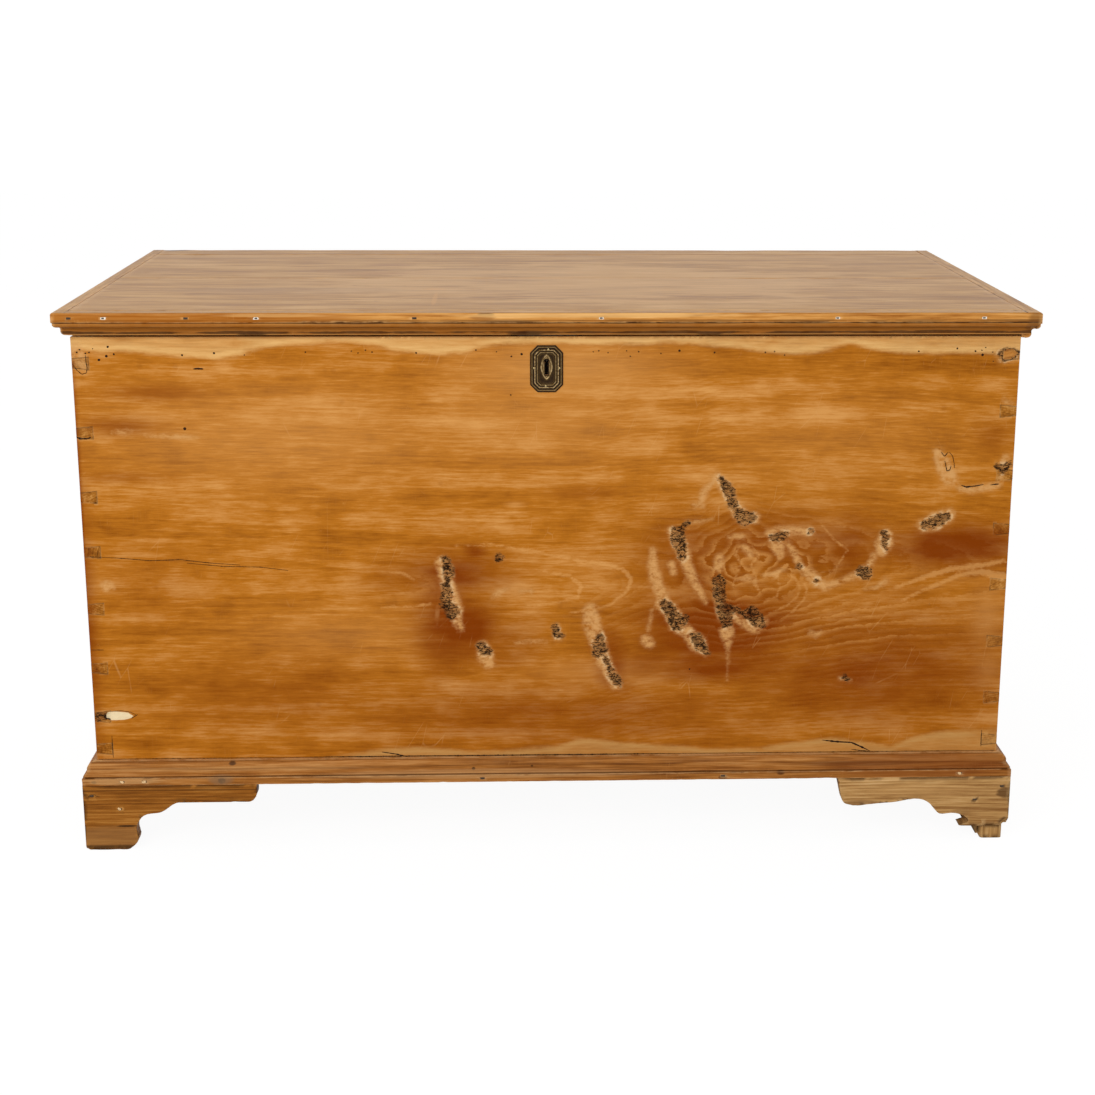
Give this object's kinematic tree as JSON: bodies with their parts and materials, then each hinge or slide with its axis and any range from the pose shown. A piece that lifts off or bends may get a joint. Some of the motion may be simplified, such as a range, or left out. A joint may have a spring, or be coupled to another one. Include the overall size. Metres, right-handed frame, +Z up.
{
  "type": "storage chest",
  "caption": "Dovetailed pine chest with a hinged moulded lid, plinth, ogee bracket feet, box lock and brass keyhole plate.",
  "frame": {"origin": "on the floor, under the middle of the lid", "axes": "+X to the right along the front, +Y to the back, +Z up"},
  "size_m": [1.052, 0.607, 0.6087],
  "materials": {
    "carcase_pine": "waxed old pine",
    "moulding_pine": "waxed old pine, darker in the quirks",
    "lid_pine": "greyed pine with a satin wax",
    "bracket_pine": "brown waxed pine",
    "new_pine": "pale unstained pine",
    "rough_pine": "rough dry pine",
    "brass": "stamped brass, dark patina with bright ribs",
    "brass_pins": "worn brass",
    "hinge_iron": "dark iron, dull",
    "lock_iron": "dull steel",
    "screw_steel": "dull steel",
    "nail_iron": "dark iron"
  },
  "bodies": {
    "chest": {"back_board": "carcase_pine", "bottom_board_1": "rough_pine", "bottom_board_2": "rough_pine", "bottom_board_3": "rough_pine", "bottom_board_nails": "nail_iron", "bracket_nails": "nail_iron", "front_board": "carcase_pine", "front_left_bracket": "bracket_pine", "front_left_corner_block": "rough_pine", "front_right_bracket": "new_pine", "front_right_corner_block": "new_pine", "hinge_screws_box": "screw_steel", "keyhole_plate": "brass", "keyhole_plate_pins": "brass_pins", "left_end_board": "carcase_pine", "left_front_bracket": "bracket_pine", "left_hinge_box_leaf": "hinge_iron", "left_hinge_pin": "hinge_iron", "left_rear_bracket": "rough_pine", "lock_cap": "lock_iron", "lock_case": "lock_iron", "lock_key_post": "lock_iron", "lock_screws": "screw_steel", "lock_spring": "lock_iron", "plinth_front": "moulding_pine", "plinth_left": "moulding_pine", "plinth_nails": "nail_iron", "plinth_right": "moulding_pine", "rear_left_corner_block": "rough_pine", "rear_left_foot_board": "rough_pine", "rear_right_corner_block": "rough_pine", "rear_right_foot_board": "rough_pine", "right_end_board": "carcase_pine", "right_front_bracket": "new_pine", "right_hinge_box_leaf": "hinge_iron", "right_hinge_pin": "hinge_iron", "right_rear_bracket": "rough_pine"},
    "lid": {"hinge_screws_lid": "screw_steel", "left_hinge_lid_leaf": "hinge_iron", "lid_front_board": "lid_pine", "lid_middle_board": "lid_pine", "lid_moulding_front": "moulding_pine", "lid_moulding_left": "moulding_pine", "lid_moulding_nails": "nail_iron", "lid_moulding_right": "moulding_pine", "lid_rear_board": "lid_pine", "link_plate": "lock_iron", "link_plate_screws": "screw_steel", "right_hinge_lid_leaf": "hinge_iron"},
    "bolt": {"lock_bolt": "lock_iron"}
  },
  "joints": [
    {"name": "lid_hinge", "type": "hinge", "parent": "chest", "child": "lid", "pos_m": [0, 0.2925, 0.58185], "axis": [-1, 0, 0], "range_deg": [0, 116]},
    {"name": "lock_bolt_slide", "type": "slide", "parent": "chest", "child": "bolt", "axis": [1, 0, 0], "range_m": [0, 0.008]}
  ]
}
